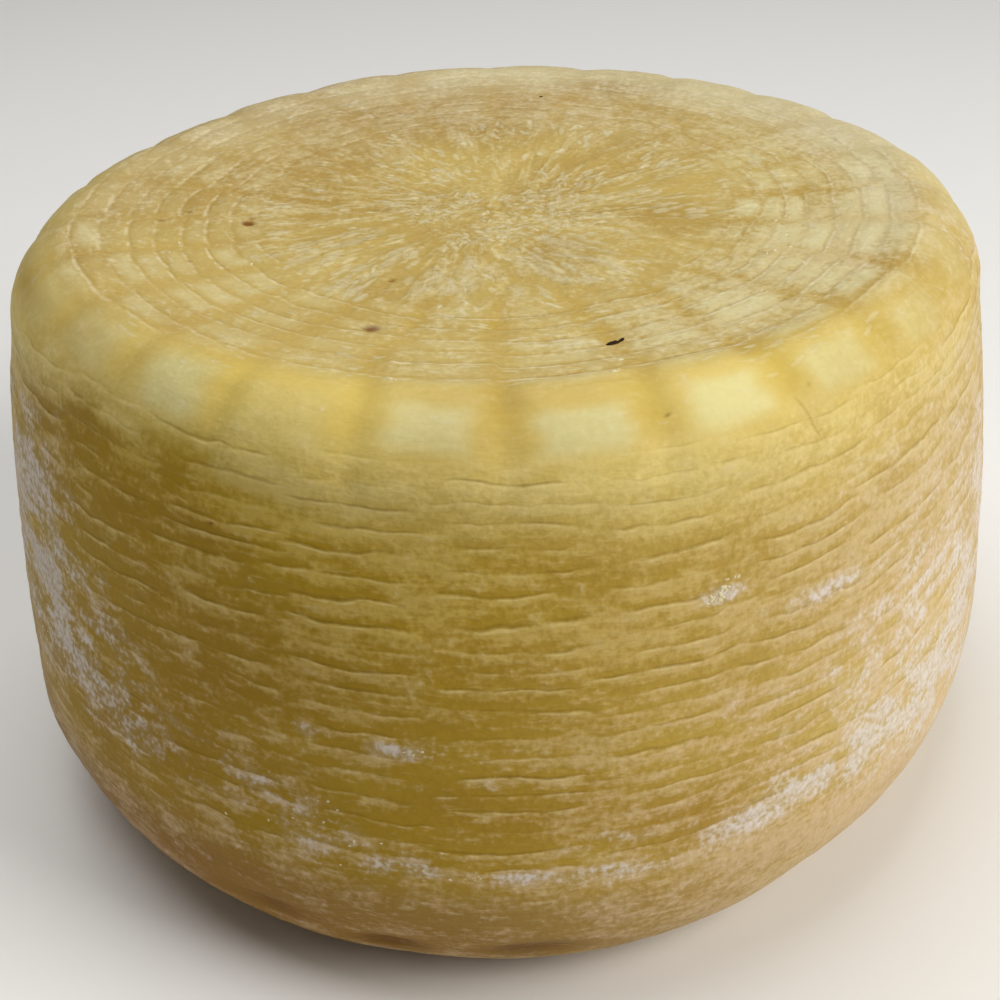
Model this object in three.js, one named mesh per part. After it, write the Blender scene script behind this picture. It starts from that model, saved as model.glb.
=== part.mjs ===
import * as THREE from 'three';

// A whole wheel of hard sheep's milk cheese, pressed by hand into a basket woven from rushes and aged.
// The basket's upright stakes fold over the shoulder and leave a ring of pillow-shaped lobes there. Its
// weaving rows leave shallow shingled bands round the wall and round the outer part of the sunken face.
// The wheel stands on z = 0 and is centred on the z axis. An angle of 0 points along -y, 90 degrees along +x.

// Driving dimensions, in millimetres.
const height = 121; // from the flat base to the rim of the face
const shoulderRadius = 96.5; // of the wall, where the shoulder starts to round over
const footRadius = 102.3; // of the wall, where the foot starts to round under
const wallBulge = 2.1; // how far the wall swells between foot and shoulder
const shoulderReach = 13.8; // of the shoulder's rounding, inwards
const shoulderDrop = 15.4; // of the shoulder's rounding, down the wall
const footReach = 27; // of the foot's rounding, inwards
const footRise = 33.7; // of the foot's rounding, up the wall
const faceSink = 3.3; // of the middle of the face below its rim

const stakeCount = 24;
const stakePrintWidth = 2.6; // half the width of the print one stake leaves
const lobeDepth = 1.8; // of the notch between two lobes
const wallStakeDepth = 0.4;
const faceStakeDepth = 0.6;

const rushPitch = 4.1; // between the weaving rows on the wall
const rushDepth = 0.9; // from a row's groove to its lip
const rushDrift = 0.6; // how far a row wanders up and down
const rushStep = 0.5; // how far the rows of every other stake lie above their neighbours, in pitches
const lowestRush = 48; // along the wall, from the edge of the base
const lipAboveGroove = 0.76; // in pitches, so the lip juts out just under the next groove

const weavePitch = 5.2; // between the weaving rows on the face
const weaveDepth = 0.6;
const weaveRowCount = 7;

// How far out of round the wheel is: each wave swells the radius by an amount towards a bearing.
const roundnessWaves = [
  { waves: 2, swell: 2.6, bearing: -41 },
  { waves: 3, swell: 0.7, bearing: 24 },
  { waves: 4, swell: 0.8, bearing: 5 },
];
const topOval = { waves: 2, swell: 3.3, bearing: 36 }; // grows from nothing at the base to this at the top

// Three columns of points to a stake: one in its print and two close beside it.
const columnsPerStake = 3;
const columnCount = stakeCount * columnsPerStake;
const columnPinch = 0.016; // radians that the two side columns move towards the print
const footRings = 7; // between the base and the lowest row
const shoulderRings = 3;
const innerFaceRings = [0.84, 0.55, 0.25]; // as a share of the inner edge of the woven ring

function swellAt(angle, { waves, swell, bearing }) {
  return swell * Math.cos(waves * (angle - THREE.MathUtils.degToRad(bearing)));
}

function roundnessFactor(angle, z) {
  const base = roundnessWaves.reduce((sum, wave) => sum + swellAt(angle, wave), 0);
  return 1 + (base + (z / height) * swellAt(angle, topOval)) / shoulderRadius;
}

const stakePitch = (2 * Math.PI) / stakeCount;

// 1 in the middle of a stake's print, falling to 0 beside it.
function stakePrint(angle, radius) {
  const offset = (angle - stakePitch * Math.round(angle / stakePitch)) * radius;
  return Math.exp(-((offset / stakePrintWidth) ** 2));
}

// A rush passes in front of one stake and behind the next, so its rows step up and down from stake to stake.
// Hand-woven rows also wander, and press in more in some places than in others.
function rowWander(angle) {
  const wander = rushDrift * (0.6 * Math.sin(3 * angle + 1) + 0.4 * Math.sin(5 * angle + 2.5));
  const side = Math.round(angle / stakePitch) % 2 === 0 ? -0.5 : 0.5;
  return wander + side * rushStep * rushPitch;
}

function rowStrength(angle, row) {
  return 1 + 0.35 * Math.sin(7 * angle + 2.4 * row);
}

// The half outline, from the edge of the flat base up to the middle of the face.
const wall = new THREE.Path();
wall.absellipse(footRadius - footReach, footRise, footReach, footRise, -Math.PI / 2, 0);
wall.quadraticCurveTo(
  (footRadius + shoulderRadius) / 2 + 2 * wallBulge,
  (footRise + height - shoulderDrop) / 2,
  shoulderRadius,
  height - shoulderDrop,
);
const shoulder = new THREE.EllipseCurve(
  shoulderRadius - shoulderReach,
  height - shoulderDrop,
  shoulderReach,
  shoulderDrop,
  0,
  Math.PI / 2,
);
const faceRadius = shoulderRadius - shoulderReach;
const face = new THREE.QuadraticBezierCurve(
  new THREE.Vector2(faceRadius, height),
  new THREE.Vector2(faceRadius / 2, height - faceSink),
  new THREE.Vector2(0, height - faceSink),
);

// A ring of the wheel: its place on the outline, the way out of the cheese there, and what presses on it.
function ring(curve, share, { rush = 0, row = 0, stake = 0, wander = 0 } = {}) {
  const point = curve.getPointAt(share);
  const tangent = curve.getTangentAt(share);
  const normal = new THREE.Vector2(tangent.y, -tangent.x);
  return { point, tangent, normal, rush, row, stake, wander };
}

function wallRings() {
  const length = wall.getLength();
  const rowCount = Math.floor((length - lowestRush) / rushPitch);
  const rings = [];
  for (let i = 0; i < footRings; i += 1) {
    rings.push(ring(wall, (i / footRings) * (lowestRush / length)));
  }
  for (let row = 0; row < rowCount; row += 1) {
    const groove = lowestRush + row * rushPitch;
    const lip = groove + lipAboveGroove * rushPitch;
    const press = { row, stake: wallStakeDepth, wander: 1 };
    rings.push(ring(wall, groove / length, { ...press, rush: -rushDepth / 2 }));
    rings.push(ring(wall, lip / length, { ...press, rush: rushDepth / 2 }));
  }
  return rings;
}

function shoulderRingList() {
  const rings = [];
  for (let i = 1; i <= shoulderRings; i += 1) {
    const share = i / (shoulderRings + 1);
    rings.push(ring(shoulder, share, { stake: lobeDepth * Math.sin(Math.PI * share) }));
  }
  return rings;
}

function faceRings() {
  const rings = [ring(face, 0, { stake: faceStakeDepth })];
  for (let row = 0; row < weaveRowCount; row += 1) {
    const lip = (row + 0.5) * weavePitch;
    const groove = (row + 1) * weavePitch;
    rings.push(ring(face, lip / faceRadius, { row, stake: faceStakeDepth, rush: weaveDepth / 2 }));
    rings.push(ring(face, groove / faceRadius, { row, stake: faceStakeDepth, rush: -weaveDepth / 2 }));
  }
  const inner = faceRadius - weaveRowCount * weavePitch;
  for (const part of innerFaceRings) {
    rings.push(ring(face, 1 - (inner * part) / faceRadius, { stake: faceStakeDepth * part }));
  }
  return rings;
}

function wheelGeometry() {
  const middleOfBase = { point: new THREE.Vector2(0, 0) };
  const middleOfFace = { point: new THREE.Vector2(0, height - faceSink) };
  const rings = [middleOfBase, ...wallRings(), ...shoulderRingList(), ...faceRings(), middleOfFace];
  const geometry = new THREE.LatheGeometry(rings.map(({ point }) => point), columnCount);
  const position = geometry.attributes.position;
  for (let i = 0; i < position.count; i += 1) {
    const { point, tangent, normal, rush, row, stake, wander } = rings[i % rings.length];
    const column = Math.floor(i / rings.length) % columnCount;
    const even = (2 * Math.PI * column) / columnCount;
    const angle = even - columnPinch * Math.sin(stakeCount * even);
    const place = point.clone();
    if (normal) {
      place.addScaledVector(normal, rush * rowStrength(angle, row) - stake * stakePrint(angle, point.x));
      place.addScaledVector(tangent, wander * rowWander(angle));
    }
    const radius = place.x * roundnessFactor(angle, place.y);
    position.setXYZ(i, radius * Math.sin(angle), -radius * Math.cos(angle), place.y);
  }
  geometry.computeBoundingBox();
  const centre = geometry.boundingBox.getCenter(new THREE.Vector3());
  geometry.translate(-centre.x, -centre.y, 0);
  geometry.computeVertexNormals();
  return geometry;
}

const rind = new THREE.MeshStandardMaterial({ color: '#c8b068', roughness: 0.55, metalness: 0 });
const wheel = new THREE.Mesh(wheelGeometry(), rind);
wheel.name = 'cheese_wheel';

const part = new THREE.Group();
part.add(wheel);

export default part;
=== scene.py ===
import math

import bpy
import numpy as np
from mathutils import Matrix


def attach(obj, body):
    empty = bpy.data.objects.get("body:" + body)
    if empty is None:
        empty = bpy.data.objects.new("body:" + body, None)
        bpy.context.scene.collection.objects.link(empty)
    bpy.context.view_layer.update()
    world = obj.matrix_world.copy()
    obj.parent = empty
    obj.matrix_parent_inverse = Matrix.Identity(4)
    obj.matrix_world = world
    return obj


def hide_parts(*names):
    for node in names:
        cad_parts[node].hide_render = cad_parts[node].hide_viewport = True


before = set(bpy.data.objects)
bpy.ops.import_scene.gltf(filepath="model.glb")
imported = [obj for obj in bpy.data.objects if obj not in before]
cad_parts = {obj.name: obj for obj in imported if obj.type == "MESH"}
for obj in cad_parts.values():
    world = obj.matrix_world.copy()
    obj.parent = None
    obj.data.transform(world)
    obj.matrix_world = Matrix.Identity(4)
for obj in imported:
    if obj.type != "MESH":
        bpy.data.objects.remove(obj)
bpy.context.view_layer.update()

# ---------------------------------------------------------------------------------------------------------
# The pressed wheel
# One block of hard sheep's milk curd, pressed by hand into a basket woven from rushes and aged for months.
# Its rind is the same curd dried to amber. It keeps the basket's print, under a thin uneven bloom of mould.
# ---------------------------------------------------------------------------------------------------------
MM = 0.001  # sizes in this section are in millimetres, and the mesh is made in metres
HEIGHT = 121.0
SHOULDER_RADIUS = 96.5
FOOT_RADIUS = 102.3
WALL_BULGE = 2.1
SHOULDER_REACH = 13.8
SHOULDER_DROP = 15.4
FOOT_REACH = 27.0
FOOT_RISE = 33.7
FACE_SINK = 3.3
STAKES = 24  # upright rushes in the basket
STAKE_PITCH = 2 * math.pi / STAKES
BASE_RADIUS = FOOT_RADIUS - FOOT_REACH
FACE_RADIUS = SHOULDER_RADIUS - SHOULDER_REACH
GIRTH = 98.0  # radius that patterns round the wall are sized for
OUTLINE_STEPS = 400  # points along each curve of the outline


def half_outline():
    """Radius and height of the smooth wheel, from the middle of the base round to the middle of the face."""
    share = np.linspace(0, 1, OUTLINE_STEPS)
    quarter = share * math.pi / 2
    wall_top = HEIGHT - SHOULDER_DROP
    taper = FOOT_RADIUS + (SHOULDER_RADIUS - FOOT_RADIUS) * share
    bulge = WALL_BULGE * 4 * share * (1 - share)
    base = (BASE_RADIUS * share, 0 * share)
    foot = (BASE_RADIUS + FOOT_REACH * np.sin(quarter), FOOT_RISE * (1 - np.cos(quarter)))
    wall = (taper + bulge, FOOT_RISE + (wall_top - FOOT_RISE) * share)
    shoulder = (FACE_RADIUS + SHOULDER_REACH * np.cos(quarter), wall_top + SHOULDER_DROP * np.sin(quarter))
    face = (FACE_RADIUS * (1 - share), HEIGHT - FACE_SINK * (1 - (1 - share) ** 2))
    return np.concatenate([np.stack(piece, 1)[1:] for piece in (base, foot, wall, shoulder, face)])


# run is the distance along the outline, 0 at the edge of the flat base and growing upwards.
outline = half_outline()
steps = np.hypot(*np.diff(outline, axis=0, prepend=outline[:1]).T)
outline_run = np.cumsum(steps) - BASE_RADIUS
outline_way = np.gradient(outline, outline_run, axis=0)
RIM_RUN = outline_run[-OUTLINE_STEPS]  # where the shoulder ends and the face begins
TOP_RUN = outline_run[-1]


def fade(low, high, value):
    """0 at low, 1 at high, and smooth between them."""
    share = np.clip((value - low) / (high - low), 0, 1)
    return share * share * (3 - 2 * share)


CELLS_ALONG = 256  # unevenness starts again after so many cells along


def uneven(around, along, cells, seed):
    """Smooth unevenness from -1 to 1, one cell to a unit. It closes on itself after so many cells around."""
    table = np.random.default_rng(seed).uniform(-1, 1, (cells, CELLS_ALONG))
    i, j = np.floor(around), np.floor(along)
    u, v = around - i, along - j
    u, v = u * u * (3 - 2 * u), v * v * (3 - 2 * v)
    i, j = i.astype(int) % cells, j.astype(int) % CELLS_ALONG
    after_i, after_j = (i + 1) % cells, (j + 1) % CELLS_ALONG
    here = table[i, j] * (1 - u) + table[after_i, j] * u
    beyond = table[i, after_j] * (1 - u) + table[after_i, after_j] * u
    return here * (1 - v) + beyond * v


def round_wall(turn, run, wide, high, seed):
    """Unevenness on the wall, in cells of about that many millimetres round it and up it."""
    cells = round(2 * math.pi * GIRTH / wide)
    return uneven(turn / (2 * math.pi) * cells, run / high + 0.37 * seed, cells, seed)


FACE_CELLS = 100  # the face lies in the middle of a square of so many cells


def face_place(turn, radius):
    """The place on the face in millimetres, to the right and to the front."""
    return radius * np.sin(turn), radius * np.cos(turn)


def round_face(x, y, size, seed):
    """Unevenness on the face, in cells of about that many millimetres."""
    return uneven(x / size + FACE_CELLS / 2, y / size + FACE_CELLS / 2, FACE_CELLS, seed)


LINES = 64  # more printed lines than a span has


def chance(span, line, seed):
    """One steady random number from 0 to 1 for each printed line of each span of the basket."""
    table = np.random.default_rng(seed).uniform(0, 1, (STAKES, LINES))
    return table[span.astype(int) % STAKES, line.astype(int) % LINES]


def turned_from(turn, bearing):
    return (turn - math.radians(bearing) + math.pi) % (2 * math.pi) - math.pi


def near(turn, bearing, width):
    """1 at a bearing, and falling off with that half width in degrees."""
    return np.exp(-((turned_from(turn, bearing) / math.radians(width)) ** 2))


# The wheel is out of round: waves, swell in mm and bearing in degrees. The top oval grows from nothing at the
# base to its full swell at the face.
ROUNDNESS_WAVES = ((2, 2.6, -41), (3, 0.7, 24), (4, 0.8, 5))
TOP_OVAL = (2, 3.3, 36)


def roundness(turn, rise):
    total = 0 * turn
    for waves, swell, bearing in ROUNDNESS_WAVES:
        total = total + swell * np.cos(waves * turned_from(turn, bearing))
    waves, swell, bearing = TOP_OVAL
    total = total + rise / HEIGHT * swell * np.cos(waves * turned_from(turn, bearing))
    return 1 + total / SHOULDER_RADIUS


# Each weaving rush of the basket's wall leaves a crease with a sharp lip just under it. A rush passes in
# front of one stake and behind the next, so the creases of one span lie half a pitch above the next span's.
RUSH_PITCH = 4.1
RUSH_SAG, RUSH_SLANT, RUSH_SHIFT = 0.17, 0.34, 0.30  # how far a crease strays in its span, in pitches
RUSH_LIP = 0.085  # how far a lip stands out
RUSH_GROOVE = 0.075  # how deep a crease is
LIP_DROP = 0.7  # from the crease down to its lip
LIP_FALL, GROOVE_FALL = 1.3, 1.1  # how soon each dies away
LOWEST_RUSH = 50.0
HIGHEST_RUSH = 129.0
# A few rushes pressed in harder: bearing, run, half width in degrees and in mm, added strength.
HARD_PRINTS = (
    (-28, 127.0, 7, 2.0, 1.0),
    (-30, 112.0, 8, 2.5, 0.8),
    (-15, 117.0, 7, 6.0, 0.5),
    (-16, 104.0, 7, 3.0, 0.6),
    (0, 73.0, 7, 2.0, 0.8),
    (2, 108.0, 6, 5.0, 0.5),
    (-12, 88.0, 9, 4.0, 0.5),
    (24, 90.0, 10, 4.0, 0.4),
    (100, 110.0, 9, 6.0, 0.6),
    (150, 90.0, 12, 6.0, 0.6),
    (-140, 100.0, 12, 8.0, 0.6),
)


def rush_rows(turn, run, side):
    """The row number at each point, whole on a crease, and how strongly the nearest crease is printed. Side 0
    is the creases of every other span, and side 1 those between, which reach past them at their ends."""
    span = 2 * np.floor((turn / STAKE_PITCH - side) / 2 + 0.5) + side
    across = turn / STAKE_PITCH - span
    sag = RUSH_SAG * uneven(span, run / 12, STAKES, 11) * (1 - 4 * across**2)
    slant = RUSH_SLANT * uneven(span, run / 15, STAKES, 12) * across
    shift = RUSH_SHIFT * uneven(span, run / 9, STAKES, 13)
    ripple = 0.09 * round_wall(turn, run, 7, 5, 14) + 0.06 * round_wall(turn, run, 2.6, 3, 19)
    row = run / RUSH_PITCH + 0.5 * side + sag + slant + shift + ripple
    line = np.round(row)
    left = -0.72 + 0.36 * chance(span, line, 15)
    right = 0.72 - 0.36 * chance(span, line, 16)
    length = fade(left, left + 0.22, across) * fade(right, right - 0.22, across)
    strength = 0.38 + 0.54 * chance(span, line, 17)
    for bearing, at, width, high, more in HARD_PRINTS:
        away = (turned_from(turn, bearing) / math.radians(width)) ** 2 + ((run - at) / high) ** 2
        strength = strength + more * np.exp(-away)
    whole = fade(-0.75, 0.05, round_wall(turn, line * 3.7, 4, 2.5, 18 + side))
    band = fade(LOWEST_RUSH - 4, LOWEST_RUSH + 6, run) * fade(HIGHEST_RUSH + 1.5, HIGHEST_RUSH - 0.5, run)
    return row, np.clip(strength * length * (0.40 + 0.60 * whole), 0, 1.3) * band


def rush_relief(row, strength):
    """A crease's groove dies away upwards, and its lip stands out just below it."""
    up = (row - np.round(row)) * RUSH_PITCH
    down = np.maximum(-up, 0)
    above = -RUSH_GROOVE * np.exp(-np.maximum(up, 0) / GROOVE_FALL)
    lip = RUSH_LIP * np.exp(-np.maximum(down - LIP_DROP, 0) / LIP_FALL)
    below = -RUSH_GROOVE + (lip + RUSH_GROOVE) * fade(0, LIP_DROP, down)
    return np.where(up > 0, above, below) * strength * fade(RUSH_PITCH / 2, 1.3, np.abs(up))


# The stakes fold in over the shoulder. The curd swells between them in smooth lobes, pale at their crowns.
LOBE_RUN = 134.2
LOBE_HALF = 4.0
LOBE_HEIGHT = 0.45
LOBE_TONES = ((-52, 0.14), (-37.5, 0.30), (-22.5, -0.60))  # bearing, and how much clearer a lobe is there
NOTCH_DEPTH = 0.38
NOTCH_HALF = 3.8


def shoulder_lobes(turn, run):
    """How far each point lies into a lobe's pale crown, and into a notch between two lobes, from 0 to 1."""
    span = np.floor(turn / STAKE_PITCH)
    across = turn / STAKE_PITCH - span
    line = 0 * span
    ragged = round_wall(turn, run, 5, 3, 21)
    lift = 1.4 * (chance(span, line, 24) - 0.5)
    left = 0.18 + 0.12 * chance(span, line, 22) + 0.05 * ragged
    right = 0.84 - 0.12 * chance(span, line, 23) + 0.05 * ragged
    low = LOBE_RUN - LOBE_HALF + lift + 0.5 * ragged
    high = LOBE_RUN + LOBE_HALF + lift + 0.5 * ragged
    soft = 0.08 + 0.10 * near(turn, -38, 22)
    sides = fade(left - soft, left + 0.08, across) * fade(right + soft, right - 0.08, across)
    rise = fade(low - 20 * soft, low + 1.7, run) * fade(high + 20 * soft, high - 1.7, run)
    notch = np.exp(-(((across - np.round(across)) * STAKE_PITCH * SHOULDER_RADIUS / NOTCH_HALF) ** 2))
    notch = notch * (1 - 0.65 * near(turn, -55, 28)) * (1 - 0.75 * near(turn, 72, 22))
    clear = (0.26 + 0.76 * near(turn, 6, 38)) * (0.75 + 0.25 * chance(span, line, 25))
    for bearing, more in LOBE_TONES:
        clear = clear + more * near(turn, bearing, 8)
    return sides * rise * clear, notch


def shoulder_relief(turn, run):
    across = turn / STAKE_PITCH - np.floor(turn / STAKE_PITCH)
    _, notch = shoulder_lobes(turn, run)
    rise = fade(HIGHEST_RUSH - 14, LOBE_RUN - 1, run) * fade(RIM_RUN + 7, RIM_RUN - 5, run)
    rise = rise * (1 - 0.4 * near(turn, 185, 80))  # the far side is flatter
    return rise * (LOBE_HEIGHT * (1 - (2 * across - 1) ** 4) - NOTCH_DEPTH * notch)


# The outer part of the face carries the basket's woven rows, and its stakes run in across them.
WEAVE_PITCH = 5.2
WEAVE_SAG, WEAVE_SLANT, WEAVE_SHIFT = 0.16, 0.26, 0.20  # how far a row strays between two stakes, in pitches
WEAVE_RELIEF = 0.26
WEAVE_INNER = 47.0
WEAVE_OUTER = 83.0
WEAVE_SPILL = 5.0  # mm that the woven rows reach out over the rim on the left and right


def weave_spill(turn):
    return WEAVE_SPILL * np.clip(near(turn, -84, 34) + near(turn, 72, 30), 0, 1)


def weave_rows(turn, radius):
    """The row number at each point, whole on a crease, and how strongly the nearest crease is printed."""
    span = np.floor(turn / STAKE_PITCH)
    across = turn / STAKE_PITCH - span - 0.5
    sag = WEAVE_SAG * uneven(span, radius / 11, STAKES, 31) * (1 - 4 * across**2)
    slant = WEAVE_SLANT * uneven(span, radius / 13, STAKES, 32) * across
    shift = WEAVE_SHIFT * uneven(span, radius / 9, STAKES, 33)
    row = radius / WEAVE_PITCH + sag + slant + shift
    line = np.round(row)
    length = 0.35 + 0.65 * fade(-0.50, -0.36, across) * fade(0.50, 0.36, across)
    strength = 0.30 + 0.70 * chance(span, line, 34)
    ragged = 3.0 * uneven(turn / (2 * math.pi) * 30, radius / 9, 30, 35)
    outer = WEAVE_OUTER + weave_spill(turn)
    band = fade(WEAVE_INNER - 4, WEAVE_INNER + 6, radius + ragged) * fade(outer + 1, outer - 2, radius)
    clear = 0.50 + 0.50 * np.maximum(near(turn, 20, 60), near(turn, -75, 30))
    return row, strength * length * band * clear


STAKE_PRINT_HALF = 2.4
STAKE_PRINT_DEPTH = 0.35


def stake_print(turn, radius):
    """1 along each stake's print on the face, which wanders a little on its way in."""
    wander = 0.16 * uneven(turn / STAKE_PITCH, radius / 14, STAKES, 36)
    offset = turn / STAKE_PITCH + wander
    offset = (offset - np.round(offset)) * STAKE_PITCH * radius
    weight = 0.5 + 0.4 * uneven(np.round(turn / STAKE_PITCH), radius / 9, STAKES, 37)
    weight = weight * (0.25 + 0.75 * near(turn, 8, 38))
    inwards = fade(WEAVE_INNER - 10, WEAVE_INNER + 8, radius)
    return weight * np.exp(-((offset / STAKE_PRINT_HALF) ** 2)) * inwards


# In the middle of the basket's floor the stakes meet, and their ends leave creases that run in to a knot.
CREASES = 62
CREASE_RELIEF = 0.19
KNOT_GRAIN = 2.4  # mm


def creased_turn(turn, radius):
    """The bearing that a crease comes from: it bends a little on its way in."""
    bend = 0.07 * uneven(turn / (2 * math.pi) * 9, radius / 15, 9, 41) + 0.05 * np.sin(radius / 8)
    return turn + bend * fade(RIM_RUN - 60, 20, radius)


def creases(turn, radius):
    """Height of the radial creases and of the knot, from -1 to 1."""
    part = creased_turn(turn, radius) / (2 * math.pi)
    wide = uneven(part * CREASES, radius / 9, CREASES, 42)
    fine = uneven(part * 2 * CREASES, radius / 5, 2 * CREASES, 43)
    spokes = np.clip(1.1 * wide + 0.8 * fine, -1, 1)
    knot = round_face(*face_place(turn, radius), KNOT_GRAIN, 44)
    return spokes * fade(10, 22, radius) + 0.7 * knot * fade(20, 8, radius)


def woven_pads(turn, radius):
    """How clearly each little pad between two woven rows and two stakes stands out, from 0 to 1."""
    row, _ = weave_rows(turn, radius)
    x, y = face_place(turn, radius)
    ragged = round_face(x, y, 3, 39)
    across = np.abs(turn / STAKE_PITCH - np.floor(turn / STAKE_PITCH) - 0.5) + 0.06 * ragged
    part = np.abs(row - np.floor(row) - 0.5) + 0.10 * uneven(x / 2.4 + 20, y / 2.4 + 70, FACE_CELLS, 40)
    tone = chance(np.floor(turn / STAKE_PITCH), np.floor(row), 38)
    clear = 0.25 + 0.75 * np.maximum(near(turn, 62, 42), 0.42 * near(turn, -62, 34))
    clear = np.maximum(clear, 0.76 * near(turn, 14, 30))
    outer = WEAVE_OUTER + weave_spill(turn)
    ring = fade(WEAVE_INNER - 6, WEAVE_INNER + 6, radius) * fade(outer + 1, outer - 3, radius)
    shape = fade(0.50, 0.18, part) * fade(0.46, 0.20, across)
    return shape * clear * ring * (0.10 + 0.90 * tone**1.3) * (0.85 + 0.3 * ragged)


def face_relief(turn, radius, on_top, on_face):
    row, strength = weave_rows(turn, radius)
    up = (row - np.round(row)) * WEAVE_PITCH
    woven = strength * (WEAVE_RELIEF * (1 - np.exp(-((up / 0.9) ** 2))) - WEAVE_RELIEF / 2)
    inner = fade(WEAVE_INNER + 6, WEAVE_INNER - 8, radius)
    middle_print = CREASE_RELIEF * creases(turn, radius) * inner
    middle_print = middle_print - STAKE_PRINT_DEPTH * stake_print(turn, radius)
    return woven * on_top + middle_print * on_face


# Small holes where gas broke through and spots where mould stained: bearing, run, radius, depth and darkness.
HOLES = (
    (-87.2, 176.3, 1.4, 0.6, 1.0),
    (-90.2, 176.9, 1.1, 0.4, 0.7),
    (-21.6, 165.5, 1.9, 0.5, 0.8),
    (-92.8, 164.0, 1.3, 0.2, 0.5),
    (-89.2, 159.0, 1.3, 0.3, 0.5),
    (-68.4, 162.5, 1.1, 0.2, 0.5),
    (-30.4, 186.5, 0.9, 0.4, 0.8),
    (-6.8, 185.5, 0.6, 0.3, 0.7),
    (2.4, 185.0, 0.5, 0.3, 0.7),
    (16.0, 134.5, 0.5, 0.3, 0.6),
    (32.0, 133.0, 0.9, 0.2, 0.4),
    (62.4, 50.0, 0.9, 0.4, 0.6),
    (-30.0, 113.0, 0.6, 0.3, 0.6),
    (49.2, 140.5, 0.9, 0.2, 0.4),
    (38.8, 114.0, 1.0, 0.2, 0.4),
    (112.0, 158.0, 0.9, 0.4, 0.7),
    (148.0, 96.0, 0.8, 0.4, 0.7),
    (-141.0, 71.0, 1.0, 0.4, 0.6),
    (-118.0, 135.0, 0.6, 0.3, 0.6),
    (171.0, 63.0, 0.7, 0.3, 0.6),
)
SCRATCH = ((29.6, 131.5), (31.6, 123.5))  # a nick in the shoulder, from one bearing and run to another
SCRATCH_DEPTH = 0.08
SCRATCH_HALF = 1.1
SCRATCH_TAPER = 1.2  # over which it starts and ends
SCRATCH_ROOM = 8  # to either side, within which its distance is kept


def offset_from(turn, run, bearing, at):
    """Millimetres round and along the outline from a mark."""
    return turned_from(turn, bearing) * np.interp(at, outline_run, outline[:, 0]), run - at


def holes(turn, run):
    """Depth and darkness of the holes."""
    depth, dark = 0 * turn, 0 * turn
    for bearing, at, size, deep, tone in HOLES:
        x, y = offset_from(turn, run, bearing, at)
        share = np.exp(-(x * x + y * y) / size**2)
        depth = np.maximum(depth, deep * share)
        dark = np.maximum(dark, tone * share)
    return depth, dark


def scratch_place(turn, run):
    """Distance across the nick's line, with its sign, and 1 along the nick, falling to 0 past its ends."""
    (bearing, at), (end_bearing, end_at) = SCRATCH
    x, y = offset_from(turn, run, bearing, at)
    end_x = math.radians(end_bearing - bearing) * SHOULDER_RADIUS
    end_y = end_at - at
    length = math.hypot(end_x, end_y)
    across = np.clip((x * end_y - y * end_x) / length, -SCRATCH_ROOM, SCRATCH_ROOM)
    along = (x * end_x + y * end_y) / length
    within = fade(-SCRATCH_TAPER, SCRATCH_TAPER, along)
    within = within * fade(length + SCRATCH_TAPER, length - SCRATCH_TAPER, along)
    return across, within * fade(SCRATCH_ROOM, SCRATCH_ROOM - 2, np.abs(across))


# Where the mould has bloomed, and where the pale film is thick or rubbed off, and in one place taken off as
# painted shade: bearing, run, half width in degrees, half height in mm and weight.
BLOOM_PATCHES = (
    (70, 88, 28, 50, 0.13),
    (25, 53.5, 4, 3.5, 0.30),
    (31, 56, 5, 4.5, 0.38),
    (38, 56, 6, 6.5, 0.38),
    (46, 55, 7, 9, 0.38),
    (54, 54, 7, 10, 0.38),
    (60, 60, 7, 11, 0.34),
    (58, 48, 8, 9, 0.30),
    (67, 68, 8, 14, 0.34),
    (44, 62, 16, 12, 0.16),
    (54, 78, 8, 9, 0.16),
    (72, 86, 9, 18, 0.22),
    (82, 88, 13, 36, 0.26),
    (28, 78.5, 9, 6, 0.12),
    (42, 78, 11, 12, 0.15),
    (50, 90, 12, 16, 0.12),
    (31.6, 96, 4.5, 2.0, 0.34),
    (19.3, 102.5, 1.9, 1.7, 0.80),
    (-55, 94, 8, 11, 0.14),
    (-63, 101, 9, 15, 0.24),
    (-60, 79, 10, 14, 0.26),
    (-52, 76, 7, 11, 0.24),
    (-47, 69, 8, 9, 0.20),
    (-76, 86, 14, 30, 0.34),
    (-40, 64, 9, 8, 0.15),
    (-30, 65, 5, 6, 0.17),
    (-25, 61, 5, 6, 0.14),
    (-20, 56, 5, 5.5, 0.15),
    (-56, 78, 15, 18, 0.11),
    (-12, 53, 6, 3.5, 0.24),
    (-2, 51.5, 11, 1.8, 0.38),
    (7, 50, 6, 2.2, 0.26),
    (7, 58.5, 3.5, 2.5, 0.26),
    (19.6, 54, 5, 5, 0.20),
    (-11.2, 77, 2.6, 1.6, 0.48),
    (-19.6, 78.5, 2, 1.6, 0.44),
    (-88, 84, 14, 30, 0.30),
    (112, 62, 15, 15, 0.50),
    (140, 86, 12, 9, 0.40),
    (165, 58, 18, 9, 0.50),
    (-162, 74, 12, 14, 0.42),
    (-132, 60, 16, 12, 0.50),
    (-110, 96, 9, 12, 0.35),
)
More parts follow.
